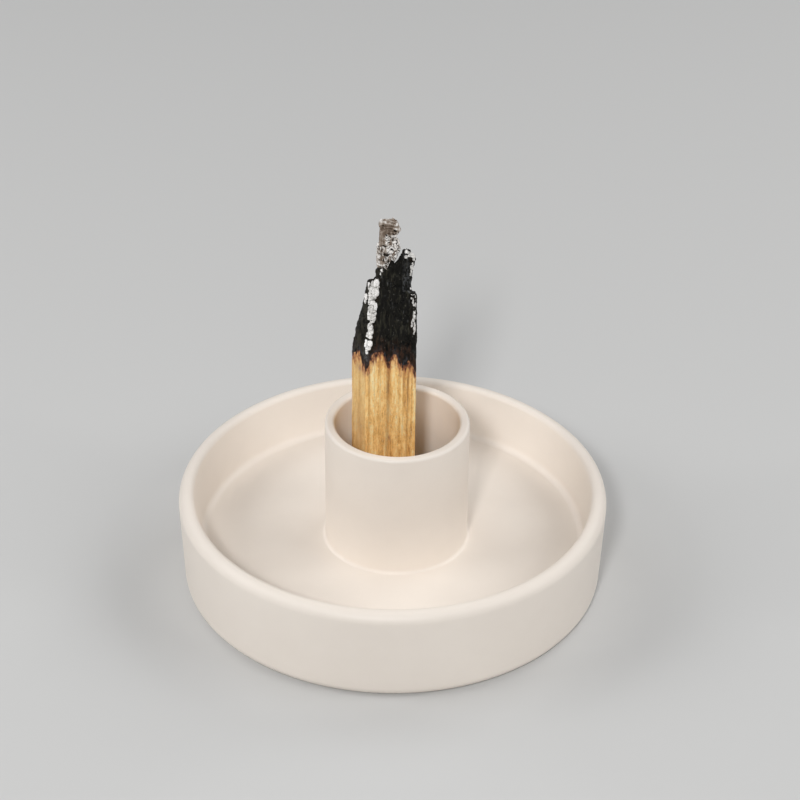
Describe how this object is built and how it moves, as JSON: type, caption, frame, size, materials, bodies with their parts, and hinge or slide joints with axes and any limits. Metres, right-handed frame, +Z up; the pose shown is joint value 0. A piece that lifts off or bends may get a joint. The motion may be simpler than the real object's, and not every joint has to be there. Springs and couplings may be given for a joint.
{
  "type": "palo santo holder",
  "caption": "Round shallow ceramic dish with a standing cup near its middle that holds a burning stick of resinous wood upright and catches its ash.",
  "frame": {"origin": "on the surface that the dish stands on, under the centre of the dish", "axes": "+Z up along the cup and the stick; the picture looks along +Y, with +X to the right"},
  "size_m": [0.1, 0.1, 0.0951],
  "materials": {
    "ivory_ceramic": "matte warm ivory, fine even surface",
    "palo_santo_wood": "split, unfinished, straight grain with resin flecks",
    "charcoal": "charred black, dull, with fine cracks",
    "grey_ash": "brownish grey ash, crumbling",
    "white_ash": "white ash, scaly and dull"
  },
  "bodies": {
    "holder": {"holder_body": "ivory_ceramic"},
    "stick": {"stick_wood": "palo_santo_wood", "charred_head": "charcoal", "ash_tip": "grey_ash", "ash_strip_left": "white_ash", "ash_flake_left": "white_ash", "ash_sliver_left_upper": "white_ash", "ash_sliver_left_lower": "white_ash", "ash_streak_right": "white_ash", "ash_edge_right": "white_ash", "ash_cap_right": "white_ash"}
  },
  "joints": [
    {"name": "stick_lift", "type": "slide", "parent": "holder", "child": "stick", "axis": [0, 0, 1], "range_m": [0, 0.045]}
  ]
}
